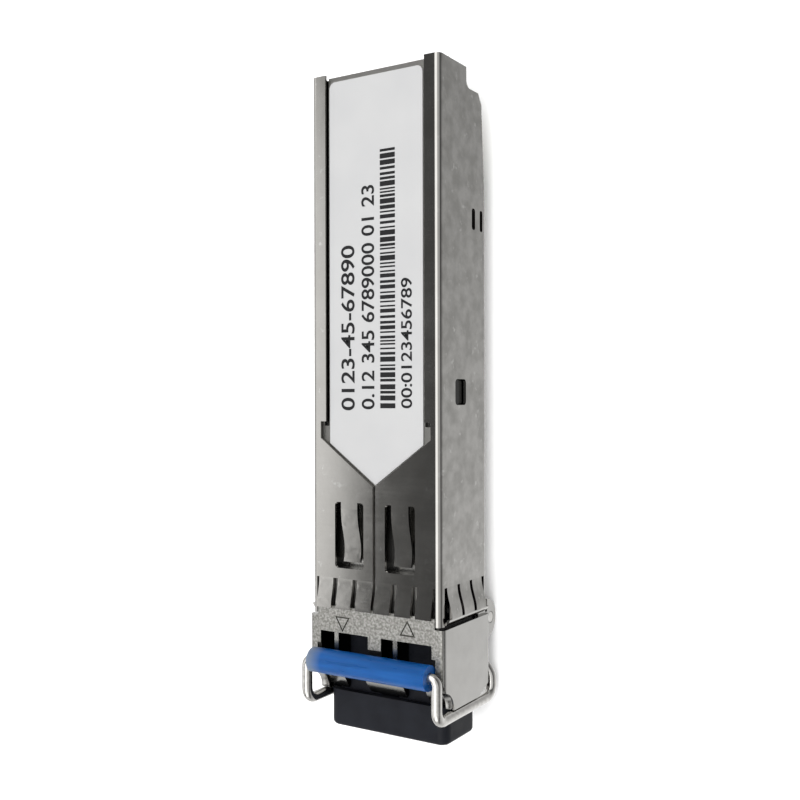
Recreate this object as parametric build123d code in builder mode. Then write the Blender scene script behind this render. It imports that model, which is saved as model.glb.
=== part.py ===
from build123d import *
import math
import os

# Small pluggable optical transceiver with a duplex LC port, in millimetres.
# X is the width, Y the length with the port towards -Y, Z is up with the label on top.
# The origin is under the middle of the whole object, at the lowest point of the bail ears.

# ---- driving dimensions -------------------------------------------------------------
body_width = 13.4
body_height = 8.5
body_length = 55.8
stop_from_rear = 48.7
sheet = 0.25
bend_radius = 0.5
ear_drop = 1.75
plug_proud = 3.4
port_pitch = 6.25
board_under = 2.25
board_thick = 1.0
wire_diameter = 0.95
sleeve_diameter = 2.2
label_thick = 0.1
pad_count = 10
pad_pitch = 0.8
pad_width = 0.6
pad_thick = 0.05
card_half = 4.6
board_half = 5.4

# ---- levels and stations that follow from them --------------------------------------
bottom_z = ear_drop
top_z = bottom_z + body_height
half_width = body_width / 2
rear_y = (body_length + plug_proud) / 2
nose_y = rear_y - body_length
stop_y = rear_y - stop_from_rear
plug_y = nose_y - plug_proud
port_x = port_pitch / 2
board_z = bottom_z + board_under
board_top = board_z + board_thick
optic_z = bottom_z + 3.75

fit_gap = 0.1
cast_half = half_width - sheet - fit_gap
cast_top = top_z - sheet - fit_gap
cast_bottom = bottom_z + sheet + fit_gap
cast_wall = 0.9
roof_under = cast_top - 1.2

# cover window for the label
rail_inner = 5.17
window_wide = 5.75
label_half = 4.88
lip_end_y = rear_y - 31.2
vee_start_y = rear_y - 32.7
vee_apex_y = rear_y - 36.9
seam_half = 0.14
cover_front_y = stop_y + 0.2

# contact fingers round the front of the cover
finger_root_y = stop_y + 3.45
finger_tip_y = stop_y + 0.8
finger_rise = 0.4
finger_spans = [(seam_half, 1.8), (2.3, 3.9), (4.4, 5.95)]
finger_cut = 6.2
rib_low = bottom_z + 0.62
rib_top = top_z - 0.67
rib_count = 3
rib_gap = 0.45
rib_height = (rib_top - rib_low - (rib_count + 1) * rib_gap) / rib_count
rib_rise = 0.5

# leaf tabs pressed into the flaps
tab_root_y = rear_y - 38.4
tab_slot_end_y = rear_y - 44.3
tab_tip_y = rear_y - 43.75
tab_slot_in = 1.12
tab_slot_out = 4.19
tab_half = 0.88
tab_x = (tab_slot_in + tab_slot_out) / 2

# openings in the side walls
side_window_y = rear_y - 28.6
side_window_z = top_z - 3.61
side_slot_y = rear_y - 13.2
side_slot_high_z = top_z - 6.04
side_slot_low_z = top_z - 7.5

# bail: pivot, bar and the run in front of the nose
pivot_y = stop_y - 0.55
pivot_z = bottom_z - 0.75
bar_y = stop_y - 3.9
bar_z = top_z + 0.8
leg_x = 6.74
front_run_y = nose_y - 0.55
inner_leg_x = 4.6
sleeve_half = 6.07
bar_radius = math.hypot(bar_y - pivot_y, bar_z - pivot_z)
sleeve_sweep = bar_radius - sleeve_diameter / 2 - 0.12
wire_sweep = bar_radius - wire_diameter / 2 - 0.08

# nose
panel_half = 7.0
plug_half = 6.15
panel_edge = 0.4
window_half = 5.8
window_y = stop_y - 1.4
post_half = 0.68
sleeve_well_y = bar_y + sleeve_diameter / 2 + 0.28
lip_y = stop_y - 4.6
port_width = 4.6
port_half_height = 2.3
notch_radius = 1.8
latch_slot_half = 1.2
body_hold = 2.15
ear_radius = 1.77
ear_y = stop_y - 0.52
ear_inner = 5.2
ear_outer = 6.7
port_back_y = stop_y + 1.8
bulkhead_under = bottom_z + 1.95

# latch rocker
latch_pivot_y = stop_y - 0.7
latch_pivot_z = bottom_z + 0.5
latch_half = 2.9
boss_front_y = stop_y + 2.5
boss_length = 2.6
boss_width = 2.6
boss_height = 0.45
latch_rear_y = boss_front_y + boss_length

# optical sub-assemblies
clamp_front_y = port_back_y
clamp_rear_y = clamp_front_y + 2.3
flange_rear_y = clamp_rear_y + 0.5
can_rear_y = flange_rear_y + 3.0
ferrule_bore = 0.63
board_front_y = can_rear_y + 1.6
board_rear_y = rear_y - 3.2
card_shoulder_y = rear_y - 13.0
chip_y = board_front_y + 6.5
controller_y = rear_y - 22.0

os.makedirs("parts", exist_ok=True)


def box_between(x0, x1, y0, y1, z0, z1, mode=Mode.ADD):
    """A box given by its two corners, added to the part being built."""
    with Locations(((x0 + x1) / 2, (y0 + y1) / 2, (z0 + z1) / 2)):
        Box(abs(x1 - x0), abs(y1 - y0), abs(z1 - z0), mode=mode)


def both_sides(x0, x1, y0, y1, z0, z1, mode=Mode.ADD):
    """The same box on the right and on the left."""
    for side in (1, -1):
        box_between(side * x0, side * x1, y0, y1, z0, z1, mode=mode)


def across(y, z, radius, x0, x1, mode=Mode.ADD):
    """A cylinder along X between x0 and x1."""
    with Locations(((x0 + x1) / 2, y, z)):
        Cylinder(radius, abs(x1 - x0), rotation=(0, 90, 0), mode=mode)


def along(x, z, radius, y0, y1, mode=Mode.ADD):
    """A cylinder along Y between y0 and y1."""
    with Locations((x, (y0 + y1) / 2, z)):
        Cylinder(radius, abs(y1 - y0), rotation=(90, 0, 0), mode=mode)


def finish(piece, name):
    """Label a finished piece and write its file."""
    piece.part.label = name
    export_step(piece.part, f"parts/{name}.step")


def side_outline(inset):
    """Lower rear outline of the side walls, cut clear for the host connector."""
    step_z = top_z - 4.77 + inset
    step_y = rear_y - 1.77 - inset
    with BuildSketch() as outline:
        with BuildLine():
            Polyline(
                (rear_y + 1, step_z),
                (step_y, step_z),
                (step_y, bottom_z + 1.5),
                (step_y - 0.9, bottom_z + 0.9 + inset),
                (step_y - 10.3, bottom_z + 0.3 + inset),
                (step_y - 10.3, bottom_z - 1),
                (rear_y + 1, bottom_z - 1),
                close=True,
            )
        make_face()
        corner = outline.vertices().sort_by_distance((step_y, step_z))[0]
        fillet(corner, 0.6)
    return outline.sketch


# ---- cover_shell: one folded sheet --------------------------------------------------
def bowed_strip(start, end, rise, tail):
    """Section of a sheet strip that leaves the sheet flat and bows outwards by rise."""
    reach = end - start
    with BuildSketch() as strip:
        with BuildLine():
            outer = Bezier(
                (start, top_z),
                (start + 0.45 * reach, top_z),
                (start + 0.6 * reach, top_z + rise),
                (end, top_z + tail),
            )
            inner = Bezier(
                (start, top_z - sheet),
                (start + 0.45 * reach, top_z - sheet),
                (start + 0.6 * reach, top_z + rise - sheet),
                (end, top_z + tail - sheet),
            )
            Line(outer @ 0, inner @ 0)
            Line(outer @ 1, inner @ 1)
        make_face()
    return strip.sketch


def side_strip(side, outer_points):
    """Section of a sheet strip in a side wall, from the control points of its outer face."""
    with BuildSketch() as strip:
        with BuildLine():
            outer = Bezier(*[(side * x, y) for x, y in outer_points])
            inner = Bezier(*[(side * (x - sheet), y) for x, y in outer_points])
            Line(outer @ 0, inner @ 0)
            Line(outer @ 1, inner @ 1)
        make_face()
    return strip.sketch


rib_outer = [
    (half_width, finger_root_y + 0.01),
    (half_width, finger_root_y - 1.0),
    (half_width + rib_rise, finger_tip_y + 1.0),
    (half_width + rib_rise, finger_tip_y),
]
ring_outer = [
    (half_width + rib_rise, finger_tip_y + 0.02),
    (half_width + rib_rise, finger_tip_y - 0.25),
    (half_width + 0.1, cover_front_y + 0.15),
    (half_width - 0.05, cover_front_y),
]

with BuildPart() as cover_shell:
    with BuildSketch(Plane.XZ.offset(-rear_y)) as tube:
        with Locations((0, (bottom_z + top_z) / 2)):
            RectangleRounded(body_width, body_height, bend_radius)
            RectangleRounded(
                body_width - 2 * sheet,
                body_height - 2 * sheet,
                bend_radius - sheet,
                mode=Mode.SUBTRACT,
            )
    extrude(amount=rear_y - cover_front_y)
    # window for the label, its V and the centre seam
    with BuildSketch(Plane.XY.offset(top_z - sheet - 0.1)) as window:
        with BuildLine():
            Polyline(
                (rail_inner, rear_y + 1),
                (rail_inner, lip_end_y),
                (window_wide, lip_end_y),
                (window_wide, vee_start_y),
                (seam_half, vee_apex_y),
                (seam_half, cover_front_y - 1),
                (-seam_half, cover_front_y - 1),
                (-seam_half, vee_apex_y),
                (-window_wide, vee_start_y),
                (-window_wide, lip_end_y),
                (-rail_inner, lip_end_y),
                (-rail_inner, rear_y + 1),
                close=True,
            )
        make_face()
    extrude(amount=sheet + 0.2, mode=Mode.SUBTRACT)
    # down-turned lips along the rails
    both_sides(rail_inner, rail_inner + sheet, lip_end_y, rear_y - 0.4, top_z - 0.7, top_z - sheet)
    # rear end of the side walls and end of the bottom panel
    with BuildSketch(Plane.YZ.offset(-half_width - 1)) as rear_cut:
        add(side_outline(0))
    extrude(amount=body_width + 2, mode=Mode.SUBTRACT)
    # opening in the bottom panel for the latch rocker
    box_between(-latch_half - 0.1, latch_half + 0.1, cover_front_y - 1, latch_rear_y + 0.3, bottom_z - 1,
                bottom_z + 1, mode=Mode.SUBTRACT)
    # front edge of the flaps, replaced by fingers
    box_between(-finger_cut, finger_cut, cover_front_y - 1, finger_root_y, top_z - 0.4, top_z + 0.4,
                mode=Mode.SUBTRACT)
    for span in finger_spans:
        for side in (1, -1):
            with BuildSketch(Plane.YZ.offset(min(side * span[0], side * span[1]))) as finger:
                add(bowed_strip(finger_root_y + 0.01, finger_tip_y, finger_rise, finger_rise))
            extrude(amount=span[1] - span[0])
    # leaf tabs
    for side in (1, -1):
        with BuildSketch(Plane.XY.offset(top_z - sheet - 0.1)) as tab_slot:
            with Locations((side * tab_x, (tab_root_y + tab_slot_end_y) / 2)):
                RectangleRounded(tab_slot_out - tab_slot_in, tab_root_y - tab_slot_end_y, 0.32)
            with Locations((side * tab_x, tab_root_y)):
                Rectangle(2 * tab_half, 1.2, mode=Mode.SUBTRACT)
        extrude(amount=sheet + 0.2, mode=Mode.SUBTRACT)
        with BuildSketch(Plane.YZ.offset(side * tab_x - tab_half)) as tab:
            add(bowed_strip(tab_root_y - 0.55, tab_tip_y, -0.95, -0.42))
        extrude(amount=2 * tab_half)
    # side windows, spring ribs and slots, on both sides
    for side in (1, -1):
        reach = side * (half_width - 0.5)
        with BuildSketch(Plane.YZ.offset(min(reach, reach + side))) as openings:
            with Locations((side_window_y, side_window_z)):
                RectangleRounded(2.25, 1.93, 0.35)
            with Locations((side_slot_y, side_slot_high_z)):
                RectangleRounded(1.9, 0.62, 0.25)
            with Locations((side_slot_y, side_slot_low_z)):
                RectangleRounded(1.9, 0.5, 0.2)
        extrude(amount=1, mode=Mode.SUBTRACT)
        box_between(reach, reach + side, cover_front_y - 1, finger_root_y, rib_low, rib_top, mode=Mode.SUBTRACT)
        for rib in range(rib_count):
            with BuildSketch(Plane.XY.offset(rib_low + rib_gap + rib * (rib_height + rib_gap))) as rib_section:
                add(side_strip(side, rib_outer))
            extrude(amount=rib_height)
        # rolled ring that joins the tips of the ribs
        with BuildSketch(Plane.XY.offset(rib_low)) as ring_section:
            add(side_strip(side, ring_outer))
        extrude(amount=rib_top - rib_low)
finish(cover_shell, "cover_shell")


# ---- base_housing: die casting ------------------------------------------------------
with BuildPart() as base_housing:
    # roof and side walls that carry the board
    box_between(-cast_half, cast_half, cover_front_y - 0.1, rear_y - 0.25, roof_under, cast_top)
    both_sides(cast_half - cast_wall, cast_half, cover_front_y - 0.1, rear_y - 0.25, cast_bottom, roof_under)
    both_sides(4.9, cast_half - cast_wall, board_front_y, rear_y - 13.5, board_top, board_top + 0.8)
    # thinner roof over the host connector
    box_between(-cast_half + cast_wall, cast_half - cast_wall, rear_y - 12.0, rear_y,
                roof_under - 1, cast_top - 0.7, mode=Mode.SUBTRACT)
    with BuildSketch(Plane.YZ.offset(-half_width)) as wall_cut:
        add(side_outline(0.35))
    extrude(amount=body_width, mode=Mode.SUBTRACT)
    # grooves for the down-turned lips of the cover, pockets under the leaf tabs
    both_sides(rail_inner - 0.14, rail_inner + sheet + 0.12, lip_end_y - 0.4, rear_y, top_z - 0.85,
               top_z, mode=Mode.SUBTRACT)
    both_sides(tab_slot_in - 0.05, tab_slot_out + 0.05, tab_slot_end_y - 0.1, tab_root_y + 0.2,
               top_z - 1.3, top_z, mode=Mode.SUBTRACT)
    # bulkhead behind the ports, with holes for the ferrule sleeves
    box_between(-cast_half, cast_half, port_back_y, stop_y, bulkhead_under, cast_top)
    # collar and nose
    box_between(-cast_half, cast_half, port_back_y - 0.5, stop_y, cast_bottom, cast_top)
    box_between(-finger_cut + 0.1, finger_cut - 0.1, finger_tip_y + 0.15, stop_y, roof_under, top_z)
    box_between(-half_width, half_width, nose_y, stop_y, bottom_z, top_z)
    both_sides(half_width - 0.4, panel_half, nose_y, stop_y, bottom_z, top_z)
    fillet(base_housing.edges().filter_by(Axis.Y).filter_by(
        lambda e: abs(abs(e.center().X) - panel_half) < 0.01), panel_edge)
    # ports
    for side in (1, -1):
        box_between(side * port_x - port_width / 2, side * port_x + port_width / 2, nose_y - 1,
                    port_back_y - 1.2, optic_z - port_half_height, optic_z + port_half_height,
                    mode=Mode.SUBTRACT)
        along(side * port_x, optic_z, 1.4, port_back_y - 2, port_back_y + 1, mode=Mode.SUBTRACT)
        # latch slot of the connector, open towards the top
        box_between(side * port_x - latch_slot_half, side * port_x + latch_slot_half, nose_y - 1, window_y,
                    optic_z, top_z + 1, mode=Mode.SUBTRACT)
    # window over the ports, with the centre post left standing
    both_sides(post_half, window_half, lip_y, window_y, optic_z, top_z + 1, mode=Mode.SUBTRACT)
    # rail at the edge of each latch slot
    for side in (1, -1):
        box_between(side * port_x - latch_slot_half - 0.35, side * port_x - latch_slot_half + 0.1, nose_y + 0.3,
                    window_y + 0.1, optic_z + body_hold + 0.15, top_z - 0.55)
    # well for the sleeve, and the way its bar takes when the bail swings
    with BuildSketch(Plane.YZ.offset(-sleeve_half - 0.1)) as sleeve_way:
        with Locations((pivot_y, pivot_z)):
            Circle(2 * bar_radius)
            Circle(sleeve_sweep, mode=Mode.SUBTRACT)
        with Locations((sleeve_well_y + 20, top_z)):
            Rectangle(40, 40, mode=Mode.SUBTRACT)
        with Locations((pivot_y, bottom_z)):
            Rectangle(60, 8, mode=Mode.SUBTRACT)
    extrude(amount=2 * sleeve_half + 0.2, mode=Mode.SUBTRACT)
    # notches in the side panels for the wire
    with BuildSketch(Plane.YZ.offset(-panel_half - 1)) as wire_way:
        with Locations((pivot_y, pivot_z)):
            Circle(2 * bar_radius)
            Circle(wire_sweep, mode=Mode.SUBTRACT)
        with Locations((bar_y + 0.1 + 20, top_z)):
            Rectangle(40, 40, mode=Mode.SUBTRACT)
        with Locations((pivot_y, bottom_z)):
            Rectangle(60, 8, mode=Mode.SUBTRACT)
        with Locations((nose_y, top_z)):
            Circle(notch_radius)
    extrude(amount=2 * panel_half + 2, mode=Mode.SUBTRACT)
    # lower front corner
    with BuildSketch(Plane.YZ.offset(-panel_half - 1)) as toe:
        with BuildLine():
            Polyline(
                (nose_y - 0.1, bottom_z - 0.1),
                (nose_y + 1.1, bottom_z - 0.1),
                (nose_y + 0.8, bottom_z + 0.5),
                (nose_y - 0.1, bottom_z + 2.4),
                close=True,
            )
        make_face()
    extrude(amount=2 * panel_half + 2, mode=Mode.SUBTRACT)
    # recess for the latch rocker, open downwards
    box_between(-latch_half - 0.1, latch_half + 0.1, nose_y + 1.6, latch_rear_y + 0.4,
                bottom_z - 1, bottom_z + 1.15, mode=Mode.SUBTRACT)
    across(latch_pivot_y, latch_pivot_z, 0.32, -latch_half - 1.0, latch_half + 1.0, mode=Mode.SUBTRACT)
    # engraved arrow marks on the collar
    for side in (1, -1):
        with BuildSketch(Plane.XY.offset(top_z - 0.1)) as mark:
            with Locations((side * 3.4, (finger_tip_y + window_y) / 2 - 0.12)):
                RegularPolygon(0.92, 3, rotation=side * 90)
                RegularPolygon(0.66, 3, rotation=side * 90, mode=Mode.SUBTRACT)
        extrude(amount=0.2, mode=Mode.SUBTRACT)
    # ears for the bail
    for side in (1, -1):
        across(ear_y, ear_radius, ear_radius, side * ear_inner, side * ear_outer)
    both_sides(ear_inner - 0.2, ear_outer + 0.2, cover_front_y - 0.1, cover_front_y + 4, bottom_z - 0.05,
               cast_bottom, mode=Mode.SUBTRACT)
    across(pivot_y, pivot_z, wire_diameter / 2 + 0.05, -panel_half, panel_half, mode=Mode.SUBTRACT)
finish(base_housing, "base_housing")

# ---- label --------------------------------------------------------------------------
with BuildPart() as label:
    with BuildSketch(Plane.XY.offset(cast_top)) as label_outline:
        with BuildLine():
            Polyline(
                (label_half, rear_y - 0.7),
                (label_half, vee_start_y - 0.45),
                (0, vee_apex_y + 0.15),
                (-label_half, vee_start_y - 0.45),
                (-label_half, rear_y - 0.7),
                close=True,
            )
        make_face()
        fillet(label_outline.vertices().group_by(Axis.Y)[-1], 0.6)
    extrude(amount=label_thick)
finish(label, "label")

# ---- bail: bent wire and its sleeve -------------------------------------------------
def mirrored_route(half):
    """A route symmetrical about the middle plane, from its right half."""
    return half + [(-x, y, z) for x, y, z in reversed(half)]


right_half = [
    (ear_outer - 0.02, pivot_y, pivot_z),
    (inner_leg_x, pivot_y, pivot_z),
    (inner_leg_x, pivot_y - 2.1, pivot_z),
    (leg_x, nose_y + 1.2, pivot_z),
    (leg_x, front_run_y, pivot_z),
    (leg_x, front_run_y, bar_z),
    (leg_x, bar_y, bar_z),
]
right_bends = [0.55, 1.2, 1.2, 1.1, 1.1, 0.65]

with BuildPart() as bail_wire:
    with BuildLine() as bail_route:
        FilletPolyline(*mirrored_route(right_half), radius=right_bends + right_bends[::-1])
    with BuildSketch(Plane(origin=bail_route.line @ 0, z_dir=bail_route.line % 0)) as wire_section:
        Circle(wire_diameter / 2)
    sweep()
finish(bail_wire, "bail_wire")

with BuildPart() as bail_sleeve:
    across(bar_y, bar_z, sleeve_diameter / 2, -sleeve_half, sleeve_half)
    across(bar_y, bar_z, wire_diameter / 2 + 0.02, -panel_half, panel_half, mode=Mode.SUBTRACT)
finish(bail_sleeve, "bail_sleeve")

# ---- dust_plug ----------------------------------------------------------------------
with BuildPart() as dust_plug:
    box_between(-plug_half, plug_half, plug_y, nose_y - 0.05, top_z - 7.4, top_z - 1.84)
    fillet(dust_plug.edges().filter_by(Axis.Y), 0.9)
    fillet(dust_plug.edges().group_by(Axis.Y)[0], 0.45)
    for side in (1, -1):
        box_between(side * port_x - body_hold, side * port_x + body_hold, nose_y - 0.1, nose_y + 5.4,
                    optic_z - body_hold, optic_z + body_hold)
        along(side * port_x, optic_z, 1.65, nose_y - 0.6, nose_y + 6, mode=Mode.SUBTRACT)
finish(dust_plug, "dust_plug")

# ---- latch rocker, its pin and its spring -------------------------------------------
with BuildPart() as latch_lever:
    box_between(-latch_half, latch_half, nose_y + 2.0, latch_rear_y, bottom_z + 0.05, bottom_z + 0.95)
    box_between(-boss_width / 2, boss_width / 2, boss_front_y, latch_rear_y,
                bottom_z - boss_height, bottom_z + 0.1)
    across(latch_pivot_y, latch_pivot_z, 0.33, -latch_half - 1, latch_half + 1, mode=Mode.SUBTRACT)
finish(latch_lever, "latch_lever")

with BuildPart() as latch_pin:
    across(latch_pivot_y, latch_pivot_z, 0.3, -latch_half - 0.9, latch_half + 0.9)
finish(latch_pin, "latch_pin")

with BuildPart() as latch_spring:
    box_between(-1.2, 1.2, port_back_y - 0.5, latch_rear_y + 0.2, bulkhead_under - 0.15, bulkhead_under)
finish(latch_spring, "latch_spring")

# ---- optical sub-assemblies: transmit on the right, receive on the left --------------
with BuildPart() as optics_clamp:
    box_between(-5.3, 5.3, clamp_front_y, clamp_rear_y, bulkhead_under, roof_under)
    for side in (1, -1):
        along(side * port_x, optic_z, 1.62, clamp_front_y - 1, clamp_rear_y + 1, mode=Mode.SUBTRACT)
    chamfer(optics_clamp.edges().filter_by(Axis.Y).group_by(Axis.Z)[0], 0.4)
finish(optics_clamp, "optics_clamp")


def make_ferrule_sleeve(side):
    """Zirconia sleeve that receives the connector's ferrule, open towards the port."""
    with BuildPart() as ferrule_sleeve:
        along(side * port_x, optic_z, 1.25, clamp_front_y - 4.6, clamp_front_y + 0.6)
        along(side * port_x, optic_z, ferrule_bore, clamp_front_y - 5, clamp_front_y - 0.4, mode=Mode.SUBTRACT)
        mouth = ferrule_sleeve.edges().filter_by(GeomType.CIRCLE).group_by(Axis.Y)[0]
        chamfer(mouth.sort_by(SortBy.RADIUS)[0], 0.2)
    return ferrule_sleeve


def make_barrel(side, ring_radius):
    """Metal barrel behind the ferrule sleeve, with the flange that the clamp holds."""
    with BuildPart() as barrel:
        along(side * port_x, optic_z, 1.58, clamp_front_y + 0.2, clamp_rear_y)
        along(side * port_x, optic_z, ring_radius, clamp_rear_y, flange_rear_y)
        along(side * port_x, optic_z, 1.25, clamp_front_y, clamp_front_y + 0.6, mode=Mode.SUBTRACT)
    return barrel


def make_can(side, cap_radius):
    """Sealed can with its header, welded to the barrel."""
    with BuildPart() as can:
        along(side * port_x, optic_z, cap_radius, flange_rear_y, can_rear_y - 1.0)
        along(side * port_x, optic_z, 2.3, can_rear_y - 1.0, can_rear_y)
        fillet(can.edges().filter_by(GeomType.CIRCLE).group_by(Axis.Y)[0], 0.3)
    return can


def make_leads(side, count):
    """Lead pins from the header to their pads on the board."""
    with BuildPart() as leads:
        for lead in range(count):
            lead_x = side * port_x + (lead - (count - 1) / 2) * 0.7
            box_between(lead_x - 0.15, lead_x + 0.15, can_rear_y, board_front_y + 1.8,
                        board_top, board_top + 0.3)
    return leads


for name, side, ring_radius, cap_radius, lead_count in [("tosa", 1, 2.0, 1.9, 4), ("rosa", -1, 2.1, 2.0, 5)]:
    finish(make_ferrule_sleeve(side), f"{name}_ferrule_sleeve")
    finish(make_barrel(side, ring_radius), f"{name}_barrel")
    finish(make_can(side, cap_radius), f"{name}_can")
    finish(make_leads(side, lead_count), f"{name}_leads")

# ---- circuit board and what is soldered to it ---------------------------------------
with BuildPart() as circuit_board:
    box_between(-board_half, board_half, board_front_y, card_shoulder_y, board_z, board_top)
    box_between(-card_half, card_half, card_shoulder_y, board_rear_y, board_z, board_top)
    chamfer(circuit_board.edges().filter_by(Axis.X).group_by(Axis.Y)[-1], 0.3)
finish(circuit_board, "circuit_board")


def make_contacts(low_z, short_pads):
    """One row of gold pads on the card edge, the power pads a little longer."""
    with BuildPart() as contacts:
        for pad in range(pad_count):
            pad_x = (pad - (pad_count - 1) / 2) * pad_pitch
            pad_end_y = board_rear_y - (0.9 if pad in short_pads else 0.5)
            box_between(pad_x - pad_width / 2, pad_x + pad_width / 2, board_rear_y - 4.2, pad_end_y,
                        low_z, low_z + pad_thick)
    return contacts


finish(make_contacts(board_top, (1, 2, 6, 7)), "card_contacts_top")
finish(make_contacts(board_z - pad_thick, (2, 3, 5, 8)), "card_contacts_bottom")


def make_chip(x, y, size, height, low_z):
    """A square chip package with chamfered top edges."""
    with BuildPart() as chip:
        box_between(x - size / 2, x + size / 2, y - size / 2, y + size / 2, low_z, low_z + height)
        chamfer(chip.edges().filter_by(Axis.Z), 0.12)
    return chip


finish(make_chip(port_x, chip_y, 3.0, 0.8, board_top), "laser_driver_chip")
finish(make_chip(-port_x, chip_y, 3.0, 0.8, board_top), "receiver_amp_chip")
finish(make_chip(0, controller_y, 4.0, 0.9, board_z - 0.9), "controller_chip")

with BuildPart() as thermal_pad:
    box_between(-1.9, 1.9, controller_y - 1.9, controller_y + 1.9, bottom_z + sheet, board_z - 0.9)
finish(thermal_pad, "thermal_pad")

with BuildPart() as board_capacitors:
    for row in range(4):
        for side in (1, -1):
            cap_x = side * (1.6 + 1.1 * (row % 2))
            cap_y = chip_y + 3.2 + 2.6 * row
            box_between(cap_x - 0.25, cap_x + 0.25, cap_y - 0.5, cap_y + 0.5, board_top, board_top + 0.5)
finish(board_capacitors, "board_capacitors")

with BuildPart() as board_resistors:
    for row in range(5):
        for side in (1, -1):
            res_x = side * (4.2 - 0.5 * (row % 2))
            res_y = chip_y + 2.9 + 2.1 * row
            box_between(res_x - 0.3, res_x + 0.3, res_y - 0.15, res_y + 0.15, board_top, board_top + 0.25)
finish(board_resistors, "board_resistors")
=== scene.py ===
import math
import random

import bmesh
import bpy
from mathutils import Matrix, Vector


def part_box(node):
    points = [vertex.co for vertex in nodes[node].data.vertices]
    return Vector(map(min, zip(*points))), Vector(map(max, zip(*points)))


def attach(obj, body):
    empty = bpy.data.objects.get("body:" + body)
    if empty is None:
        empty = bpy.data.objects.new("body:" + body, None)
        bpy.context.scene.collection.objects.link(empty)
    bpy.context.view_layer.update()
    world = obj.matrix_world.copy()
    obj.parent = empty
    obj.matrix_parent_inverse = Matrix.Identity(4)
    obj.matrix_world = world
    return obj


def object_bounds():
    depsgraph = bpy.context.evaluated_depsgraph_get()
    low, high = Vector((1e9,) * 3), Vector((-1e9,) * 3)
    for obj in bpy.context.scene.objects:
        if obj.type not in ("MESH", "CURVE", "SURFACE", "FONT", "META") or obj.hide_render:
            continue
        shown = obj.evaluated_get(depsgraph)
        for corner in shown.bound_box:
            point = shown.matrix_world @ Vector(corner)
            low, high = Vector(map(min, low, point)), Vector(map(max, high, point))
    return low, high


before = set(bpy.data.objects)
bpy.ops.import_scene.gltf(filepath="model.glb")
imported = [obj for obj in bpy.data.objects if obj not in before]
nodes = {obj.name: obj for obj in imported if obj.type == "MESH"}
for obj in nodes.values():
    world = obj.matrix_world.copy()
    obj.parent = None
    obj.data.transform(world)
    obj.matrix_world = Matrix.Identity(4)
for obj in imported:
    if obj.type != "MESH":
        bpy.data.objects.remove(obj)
cad_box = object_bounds()

MM = 0.001

# ---- places, read from the frame ------------------------------------------------------
body_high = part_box("base_housing")[1]
label_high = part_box("label")[1]
sleeve_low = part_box("bail_sleeve")[0]
object_centre = (cad_box[0] + cad_box[1]) / 2
label_level = label_high.z / MM
roof_level = body_high.z / MM
sleeve_left = sleeve_low.x / MM
print_top = label_high.z + 0.006 * MM

# ---- camera and label numbers, in millimetres -----------------------------------------
lens_length = 45.04
film_width = 36
camera_distance = 91.09
aim_offset = Vector((0.11, 0.31, 0))
aim_back = Vector((0.5298, 0.0027, 0.8481))
aim_up = Vector((0.0005, 1, -0.0035))
# the casting's walls inside the cover get painted shade, which fades out between these distances from the middle;
# where it stands out further than the cover's inside it keeps its plated colour
painted_shade_fades_from, painted_shade_fades_to = 6.4, 6.55
# how far under the roof the engraved marks get painted shade
mark_depth, mark_edge = 0.09, 0.04
bars_left, bars_right = 0.53, 2.09
bars_start, bars_end = -0.4, 22.2
bar_widths = (0.15, 0.24, 0.34, 0.44)
bar_gaps = (0.13, 0.16, 0.24)
# name, placeholder digits, baseline X, digit height, first Y, last Y
print_lines = [
    ("print_line_1", "0123-45-67890", -2.16, 1.48, -0.6, 14.1),
    ("print_line_2", "0.12 345 6789000 01 23", -0.06, 1.38, -0.5, 19.24),
    ("print_line_3", "00:0123456789", 3.80, 1.13, -0.4, 10.85),
]
edge_segments = 2


# ---- camera ---------------------------------------------------------------------------
def make_camera():
    """Looks down on the label from the right, with the card end at the top of the picture."""
    target = object_centre + aim_offset * MM
    back = aim_back.normalized()
    right = aim_up.cross(back).normalized()
    up = back.cross(right)
    data = bpy.data.cameras.new("camera")
    data.sensor_width = film_width
    data.lens = lens_length
    data.clip_start = 0.001
    data.clip_end = 10
    camera = bpy.data.objects.new("camera", data)
    turn = Matrix((right, up, back)).transposed().to_4x4()
    camera.matrix_world = Matrix.Translation(target + back * camera_distance * MM) @ turn
    bpy.context.scene.collection.objects.link(camera)
    bpy.context.scene.camera = camera


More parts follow.
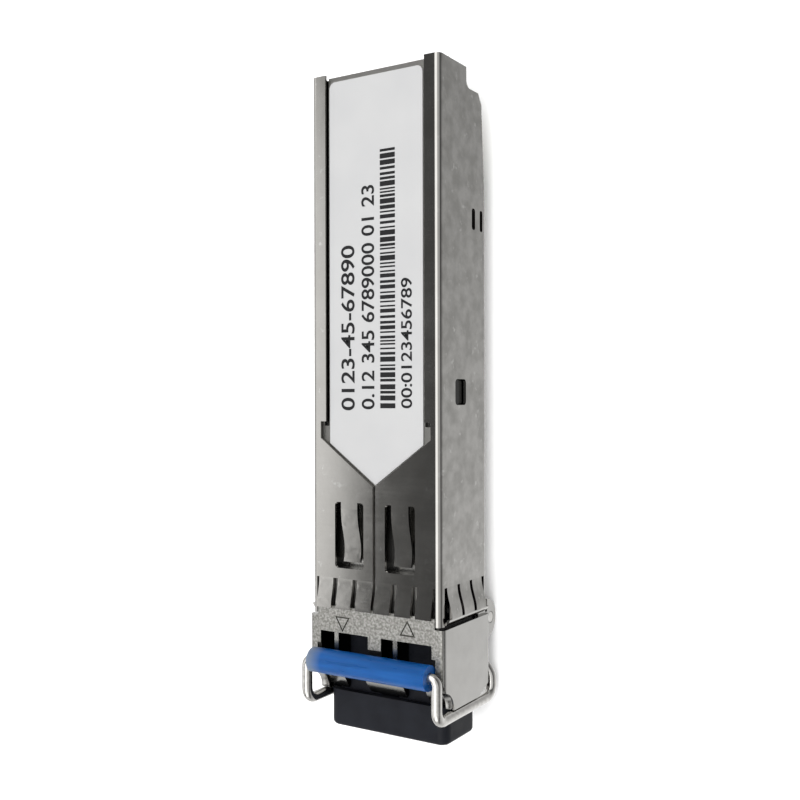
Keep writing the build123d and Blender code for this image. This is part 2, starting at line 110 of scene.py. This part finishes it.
# ---- studio ---------------------------------------------------------------------------
def make_world():
    """Soft bands for the metal to mirror: bright overhead, dark beside them, and dark low down on the right."""
    world = bpy.data.worlds.new("studio")
    world.use_nodes = True
    tree = world.node_tree
    tree.nodes.clear()
    out = tree.nodes.new("ShaderNodeOutputWorld")
    light = tree.nodes.new("ShaderNodeBackground")
    place = tree.nodes.new("ShaderNodeTexCoord")
    split = tree.nodes.new("ShaderNodeSeparateXYZ")
    tree.links.new(place.outputs["Generated"], split.inputs[0])
    bands = [(-1.0, 0.9), (-0.62, 1.9), (-0.585, 1.5), (-0.55, 0.25), (-0.5, 0.13), (-0.38, 0.13), (-0.24, 2.6),
             (0.25, 2.6), (0.5, 1.0), (1.0, 0.8)]
    across = steps(tree, split.outputs["X"], bands)
    above = steps(tree, split.outputs["Z"], [(0.02, 0.1), (0.2, 0.2), (0.4, 1.0)])
    along = steps(tree, split.outputs["Y"], [(-0.3, 1.05), (0.4, 0.42)])
    below = steps(tree, split.outputs["Z"], [(-0.75, 1.0), (-0.35, 0.55), (-0.12, 0.4), (0.0, 0.0)])
    sky = arithmetic(tree, "MULTIPLY", across, above)
    ground = arithmetic(tree, "MULTIPLY", along, below)
    left = steps(tree, split.outputs["X"], [(0.1, 0.95), (0.35, 0.0)])
    low = steps(tree, split.outputs["Z"], [(0.14, 1.0), (0.34, 0.0)])
    horizon = arithmetic(tree, "MULTIPLY", left, low)
    level = arithmetic(tree, "MAXIMUM", arithmetic(tree, "ADD", sky, ground), horizon)
    tree.links.new(level, light.inputs["Color"])
    tree.links.new(light.outputs[0], out.inputs[0])
    bpy.context.scene.world = world
    bpy.context.scene.view_settings.view_transform = "Standard"


def steps(tree, direction, stops):
    """Levels at given places along a direction that runs from -1 to 1."""
    ramp = tree.nodes.new("ShaderNodeValToRGB")
    tree.links.new(spread(tree, direction, 0, 1, -1, 1), ramp.inputs["Fac"])
    while len(ramp.color_ramp.elements) < len(stops):
        ramp.color_ramp.elements.new(0.5)
    for element, (place, level) in zip(ramp.color_ramp.elements, stops):
        element.position = (place + 1) / 2
        element.color = (level, level, level, 1)
    return ramp.outputs["Color"]


def make_light(name, place, aim, size, power):
    """A square soft light that the metal doesn't mirror."""
    data = bpy.data.lights.new(name, "AREA")
    data.size = size
    data.energy = power
    light = bpy.data.objects.new(name, data)
    light.location = place
    light.rotation_mode = "QUATERNION"
    light.rotation_quaternion = (Vector(aim) - Vector(place)).to_track_quat("-Z", "Y")
    light.visible_glossy = False
    bpy.context.scene.collection.objects.link(light)


def make_floor():
    """Plain pale floor under the ears of the bail, which the metal doesn't mirror."""
    mesh = bpy.data.meshes.new("floor")
    half = 1.5
    mesh.from_pydata([(-half, -half, 0), (half, -half, 0), (half, half, 0), (-half, half, 0)], [], [(0, 1, 2, 3)])
    floor = bpy.data.objects.new("floor", mesh)
    bpy.context.scene.collection.objects.link(floor)
    material, tree, shader = new_material("pale_floor", (0.93, 0.93, 0.93), 0.8)
    mesh.materials.append(material)
    floor.visible_glossy = False


# ---- material helpers -----------------------------------------------------------------
def new_material(name, color, roughness, metallic=0.0):
    """A material with its principled shader, plain until detail is linked to it."""
    material = bpy.data.materials.new(name)
    material.use_nodes = True
    tree = material.node_tree
    shader = tree.nodes["Principled BSDF"]
    shader.inputs["Base Color"].default_value = (*color, 1)
    shader.inputs["Roughness"].default_value = roughness
    shader.inputs["Metallic"].default_value = metallic
    return material, tree, shader


def coordinates(tree, stretch=(1, 1, 1)):
    """Object coordinates in millimetres, stretched along the axes."""
    place = tree.nodes.new("ShaderNodeTexCoord")
    scale = tree.nodes.new("ShaderNodeMapping")
    scale.inputs["Scale"].default_value = [s / MM for s in stretch]
    tree.links.new(place.outputs["Object"], scale.inputs["Vector"])
    return scale.outputs["Vector"]


def split_axes(tree, vector):
    """The X, Y and Z of a vector socket."""
    split = tree.nodes.new("ShaderNodeSeparateXYZ")
    tree.links.new(vector, split.inputs[0])
    return split.outputs


def surface_normal(tree):
    """X, Y and Z of the direction that the surface faces."""
    return split_axes(tree, tree.nodes.new("ShaderNodeNewGeometry").outputs["True Normal"])


def noise(tree, per_mm, detail=2.0, stretch=(1, 1, 1)):
    """Noise with a given number of features in a millimetre."""
    texture = tree.nodes.new("ShaderNodeTexNoise")
    texture.inputs["Scale"].default_value = per_mm
    texture.inputs["Detail"].default_value = detail
    tree.links.new(coordinates(tree, stretch), texture.inputs["Vector"])
    return texture.outputs["Fac"]


def spread(tree, value, low, high, from_low=0.3, from_high=0.7):
    """Maps a value onto the range from low to high."""
    node = tree.nodes.new("ShaderNodeMapRange")
    node.inputs["From Min"].default_value = from_low
    node.inputs["From Max"].default_value = from_high
    node.inputs["To Min"].default_value = low
    node.inputs["To Max"].default_value = high
    tree.links.new(value, node.inputs["Value"])
    return node.outputs["Result"]


def arithmetic(tree, operation, first, second):
    """One sum on two values, each a socket or a number."""
    node = tree.nodes.new("ShaderNodeMath")
    node.operation = operation
    for socket, value in zip(node.inputs, (first, second)):
        if isinstance(value, (int, float)):
            socket.default_value = value
        else:
            tree.links.new(value, socket)
    return node.outputs[0]


def two_colours(tree, factor, first, second):
    """Mixes two colours, each a socket or a tuple, by a factor."""
    node = tree.nodes.new("ShaderNodeMix")
    node.data_type = "RGBA"
    tree.links.new(factor, node.inputs[0])
    for socket, value in ((node.inputs[6], first), (node.inputs[7], second)):
        if isinstance(value, tuple):
            socket.default_value = (*value, 1)
        else:
            tree.links.new(value, socket)
    return node.outputs[2]


def bump(tree, shader, height, depth_mm, strength=1.0):
    """Raises the surface by a height of at most depth_mm."""
    node = tree.nodes.new("ShaderNodeBump")
    node.inputs["Strength"].default_value = strength
    node.inputs["Distance"].default_value = depth_mm * MM
    tree.links.new(height, node.inputs["Height"])
    tree.links.new(node.outputs["Normal"], shader.inputs["Normal"])


def dress(material, *names):
    """Gives CAD nodes a material."""
    for name in names:
        slots = nodes[name].data.materials
        slots.clear()
        slots.append(material)


# ---- materials ------------------------------------------------------------------------
def nickel_sheet():
    """Bright nickel plate on folded sheet: faint rolling lines, small pale specks, and side walls darkened with
    painted shade and mottled with painted reflections of their dents.
    """
    material, tree, shader = new_material("nickel_sheet", (0.35, 0.34, 0.325), 0.1, 1.0)
    sideways = arithmetic(tree, "ABSOLUTE", surface_normal(tree)["X"], 0)
    side_wall = spread(tree, sideways, 0, 1, 0.8, 0.95)
    clouds = noise(tree, 0.35, 3)
    dents = noise(tree, 0.8, 4)
    lines = noise(tree, 6, 2, (0.05, 1, 1))
    specks = spread(tree, noise(tree, 1.3, 4), 0, 1, 0.64, 0.74)
    tone = two_colours(tree, spread(tree, clouds, 0, 1), (0.33, 0.322, 0.305), (0.37, 0.362, 0.345))
    # painted shade and painted reflections: walls facing sideways get a darker tone, blotched by the dents noise
    painted_side_shade = two_colours(tree, spread(tree, dents, 0, 1, 0.35, 0.65), (0.26, 0.255, 0.241), (0.35, 0.343, 0.328))
    plain = two_colours(tree, side_wall, tone, painted_side_shade)
    tree.links.new(two_colours(tree, specks, plain, (0.42, 0.415, 0.4)), shader.inputs["Base Color"])
    rough = arithmetic(tree, "ADD", spread(tree, clouds, 0.06, 0.1), spread(tree, lines, -0.01, 0.01))
    tree.links.new(rough, shader.inputs["Roughness"])
    ripple = arithmetic(tree, "ADD", arithmetic(tree, "MULTIPLY", lines, 0.04), clouds)
    dented = arithmetic(tree, "MULTIPLY", dents, arithmetic(tree, "MULTIPLY", side_wall, 3))
    bump(tree, shader, arithmetic(tree, "ADD", ripple, dented), 0.012, 0.3)
    return material


def cast_nickel():
    """Plated casting: fine grit at label level, smooth below it, painted shade in the engraved marks, and painted
    shade on the walls where the cover hides them.
    """
    material, tree, shader = new_material("cast_nickel", (0.36, 0.355, 0.34), 0.3, 1.0)
    facing = surface_normal(tree)
    place = split_axes(tree, coordinates(tree))
    high_up = spread(tree, place["Z"], 0, 1, label_level - 0.3, label_level)
    top = arithmetic(tree, "MULTIPLY", spread(tree, facing["Z"], 0, 1, 0.6, 0.8), high_up)
    grit = noise(tree, 4.5, 3)
    fine = noise(tree, 12, 2)
    dots = spread(tree, grit, 0, 1, 0.38, 0.64)
    gritty = two_colours(tree, dots, (0.19, 0.186, 0.172), (0.37, 0.365, 0.345))
    # painted shade in the engraved marks: the grit turns dark below the roof
    marks = spread(tree, place["Z"], 1, 0, roof_level - mark_depth, roof_level - mark_edge)
    gritty = two_colours(tree, marks, gritty, (0.07, 0.068, 0.062))
    smooth = two_colours(tree, spread(tree, noise(tree, 0.5, 3), 0, 1), (0.35, 0.345, 0.33), (0.39, 0.385, 0.37))
    # painted shade: sideways-facing walls inside the cover are painted near black
    outside = spread(tree, arithmetic(tree, "ABSOLUTE", place["X"], 0), 0, 1, painted_shade_fades_from, painted_shade_fades_to)
    sideways = spread(tree, arithmetic(tree, "ABSOLUTE", facing["X"], 0), 1, 0, 0.8, 0.95)
    clear_of_painted_shade = arithmetic(tree, "MAXIMUM", outside, sideways)
    smooth = two_colours(tree, clear_of_painted_shade, (0.012, 0.012, 0.011), smooth)
    tree.links.new(two_colours(tree, top, smooth, gritty), shader.inputs["Base Color"])
    tree.links.new(spread(tree, top, 0.2, 0.42, 0, 1), shader.inputs["Roughness"])
    height = arithmetic(tree, "MULTIPLY", arithmetic(tree, "ADD", grit, fine), spread(tree, top, 0.08, 1, 0, 1))
    bump(tree, shader, height, 0.045, 0.7)
    return material


def bright_wire():
    """Polished nickel on spring wire, with faint drawing lines."""
    material, tree, shader = new_material("bright_wire", (0.58, 0.565, 0.54), 0.16, 1.0)
    marks = noise(tree, 2.5, 3)
    tree.links.new(two_colours(tree, spread(tree, marks, 0, 1), (0.44, 0.43, 0.41), (0.54, 0.53, 0.51)),
                   shader.inputs["Base Color"])
    tree.links.new(spread(tree, marks, 0.12, 0.22), shader.inputs["Roughness"])
    bump(tree, shader, marks, 0.01, 0.3)
    return material


def blue_tube():
    """Soft blue tube, thinner and milky at its left end, with faint lengthwise streaks."""
    material, tree, shader = new_material("blue_tube", (0.004, 0.055, 0.3), 0.3)
    place = split_axes(tree, coordinates(tree))
    milky = spread(tree, place["X"], 1, 0, sleeve_left, sleeve_left + 1.5)
    streaks = noise(tree, 1.4, 3, (0.12, 1, 1))
    blue = two_colours(tree, spread(tree, streaks, 0, 1), (0.001, 0.045, 0.17), (0.0015, 0.068, 0.25))
    tree.links.new(two_colours(tree, milky, blue, (0.12, 0.15, 0.19)), shader.inputs["Base Color"])
    tree.links.new(spread(tree, streaks, 0.24, 0.4), shader.inputs["Roughness"])
    shader.inputs["Subsurface Weight"].default_value = 0.2
    shader.inputs["Subsurface Radius"].default_value = (0.1, 0.3, 1.0)
    shader.inputs["Subsurface Scale"].default_value = 0.7 * MM
    shader.inputs["Specular IOR Level"].default_value = 0.3
    bump(tree, shader, streaks, 0.015, 0.3)
    return material


def black_plastic():
    """Moulded black plastic with a fine texture and softly worn edges."""
    material, tree, shader = new_material("black_plastic", (0.017, 0.019, 0.024), 0.45)
    fine = noise(tree, 7, 3)
    wear = noise(tree, 0.6, 4)
    tree.links.new(two_colours(tree, spread(tree, wear, 0, 1), (0.006, 0.0065, 0.009), (0.009, 0.010, 0.0135)),
                   shader.inputs["Base Color"])
    tree.links.new(spread(tree, wear, 0.4, 0.55), shader.inputs["Roughness"])
    shader.inputs["Specular IOR Level"].default_value = 0.12
    bump(tree, shader, fine, 0.02, 0.35)
    return material


def label_film():
    """Satin white film with a trace of paper grain."""
    material, tree, shader = new_material("label_film", (0.37, 0.37, 0.372), 0.42)
    grain = noise(tree, 9, 2)
    clouds = noise(tree, 0.25, 2)
    tree.links.new(two_colours(tree, spread(tree, clouds, 0, 1), (0.36, 0.36, 0.363), (0.38, 0.38, 0.38)),
                   shader.inputs["Base Color"])
    tree.links.new(spread(tree, grain, 0.38, 0.48), shader.inputs["Roughness"])
    bump(tree, shader, grain, 0.004, 0.3)
    return material


def print_ink():
    """Thermal print: near black, a little uneven."""
    material, tree, shader = new_material("print_ink", (0.012, 0.012, 0.014), 0.5)
    tree.links.new(two_colours(tree, noise(tree, 8, 2), (0.003, 0.003, 0.0035), (0.01, 0.01, 0.011)),
                   shader.inputs["Base Color"])
    shader.inputs["Specular IOR Level"].default_value = 0.2
    return material


def solder_mask():
    """Green solder mask over fine copper tracks."""
    material, tree, shader = new_material("solder_mask", (0.01, 0.11, 0.045), 0.3)
    bricks = tree.nodes.new("ShaderNodeTexBrick")
    bricks.inputs["Scale"].default_value = 0.55
    bricks.inputs["Mortar Size"].default_value = 0.06
    bricks.inputs["Color1"].default_value = (0.008, 0.085, 0.035, 1)
    bricks.inputs["Color2"].default_value = (0.010, 0.10, 0.042, 1)
    bricks.inputs["Mortar"].default_value = (0.03, 0.19, 0.07, 1)
    tree.links.new(coordinates(tree, (1, 0.6, 1)), bricks.inputs["Vector"])
    tree.links.new(bricks.outputs["Color"], shader.inputs["Base Color"])
    bump(tree, shader, bricks.outputs["Fac"], 0.02, 0.4)
    return material


def plain_detail(name, low, high, rough, metallic, per_mm, depth_mm):
    """A small part's finish: two close tones, uneven gloss and a fine surface."""
    material, tree, shader = new_material(name, low, rough, metallic)
    grain = noise(tree, per_mm, 3)
    tree.links.new(two_colours(tree, spread(tree, grain, 0, 1), low, high), shader.inputs["Base Color"])
    tree.links.new(spread(tree, grain, rough * 0.85, rough * 1.2), shader.inputs["Roughness"])
    bump(tree, shader, grain, depth_mm, 0.4)
    return material


# ---- edges of the CAD metal -----------------------------------------------------------
def soften(name, width_mm, angle=32):
    """Breaks the sharp edges of a CAD node, which catch light on the real metal."""
    piece = nodes[name]
    weld = piece.modifiers.new("weld", "WELD")
    weld.merge_threshold = 1e-7
    edge = piece.modifiers.new("edge", "BEVEL")
    edge.width = width_mm * MM
    edge.segments = edge_segments
    edge.limit_method = "ANGLE"
    edge.angle_limit = math.radians(angle)
    edge.use_clamp_overlap = True
    shade = piece.modifiers.new("shade", "WEIGHTED_NORMAL")
    shade.keep_sharp = True


# ---- label print ----------------------------------------------------------------------
def print_line(name, text, baseline_x, cap_height, start_y, end_y, ink):
    """One line of placeholder digits that runs along +Y, fitted between its two ends."""
    curve = bpy.data.curves.new(name, "FONT")
    curve.body = text
    curve.size = 1
    curve.offset = 0.014
    maker = bpy.data.objects.new(name, curve)
    bpy.context.scene.collection.objects.link(maker)
    bpy.context.view_layer.update()
    mesh = bpy.data.meshes.new_from_object(maker.evaluated_get(bpy.context.evaluated_depsgraph_get()))
    bpy.data.objects.remove(maker)
    low = Vector(map(min, *(v.co for v in mesh.vertices)))
    high = Vector(map(max, *(v.co for v in mesh.vertices)))
    along = (end_y - start_y) * MM / (high.x - low.x)
    across = cap_height * MM / (high.y - low.y)
    for vertex in mesh.vertices:
        x, y = vertex.co.x - low.x, vertex.co.y - low.y
        vertex.co = (baseline_x * MM - y * across, start_y * MM + x * along, print_top)
    mesh.materials.append(ink)
    piece = bpy.data.objects.new(name, mesh)
    bpy.context.scene.collection.objects.link(piece)
    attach(piece, "module")


def print_bars(ink):
    """A row of bars with no meaning, wide and narrow by chance."""
    chance = random.Random(11)
    shape = bmesh.new()
    y = bars_start
    while y < bars_end:
        width = chance.choice(bar_widths)
        corners = [(bars_left, y), (bars_right, y), (bars_right, y + width), (bars_left, y + width)]
        shape.faces.new([shape.verts.new((cx * MM, cy * MM, print_top)) for cx, cy in corners])
        y += width + chance.choice(bar_gaps)
    mesh = bpy.data.meshes.new("print_bars")
    shape.to_mesh(mesh)
    shape.free()
    mesh.materials.append(ink)
    piece = bpy.data.objects.new("print_bars", mesh)
    bpy.context.scene.collection.objects.link(piece)
    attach(piece, "module")


# ---- build ----------------------------------------------------------------------------
make_camera()
make_world()
make_light("top_soft", (0.1, -0.05, 0.5), (0, 0, 0), 0.5, 1.2)
make_floor()

sheet_metal = nickel_sheet()
casting = cast_nickel()
wire_metal = bright_wire()
ink = print_ink()
gold = plain_detail("gold_plate", (0.72, 0.48, 0.16), (0.86, 0.62, 0.26), 0.25, 1.0, 3, 0.004)
package = plain_detail("chip_package", (0.012, 0.012, 0.013), (0.03, 0.03, 0.032), 0.5, 0.0, 8, 0.01)
dress(sheet_metal, "cover_shell")
dress(casting, "base_housing", "latch_lever")
dress(wire_metal, "bail_wire", "latch_pin", "latch_spring")
dress(blue_tube(), "bail_sleeve")
dress(black_plastic(), "dust_plug")
dress(label_film(), "label")
dress(solder_mask(), "circuit_board")
dress(gold, "card_contacts_top", "card_contacts_bottom", "tosa_can", "rosa_can", "tosa_leads", "rosa_leads")
dress(package, "laser_driver_chip", "receiver_amp_chip", "controller_chip", "board_resistors")
dress(plain_detail("turned_steel", (0.5, 0.5, 0.5), (0.62, 0.62, 0.62), 0.28, 1.0, 4, 0.006),
      "tosa_barrel", "rosa_barrel", "optics_clamp")
dress(plain_detail("zirconia", (0.8, 0.78, 0.72), (0.88, 0.87, 0.83), 0.15, 0.0, 2, 0.002),
      "tosa_ferrule_sleeve", "rosa_ferrule_sleeve")
dress(plain_detail("ceramic_tan", (0.36, 0.22, 0.11), (0.46, 0.3, 0.17), 0.35, 0.0, 5, 0.01), "board_capacitors")
dress(plain_detail("gap_filler", (0.32, 0.34, 0.36), (0.4, 0.42, 0.44), 0.8, 0.0, 4, 0.03), "thermal_pad")

for name, width_mm in (("base_housing", 0.06), ("latch_lever", 0.08), ("circuit_board", 0.03),
                       ("optics_clamp", 0.05)):
    soften(name, width_mm)

for name, text, baseline_x, digit_height, first_y, last_y in print_lines:
    print_line(name, text, baseline_x, digit_height, first_y, last_y, ink)
print_bars(ink)
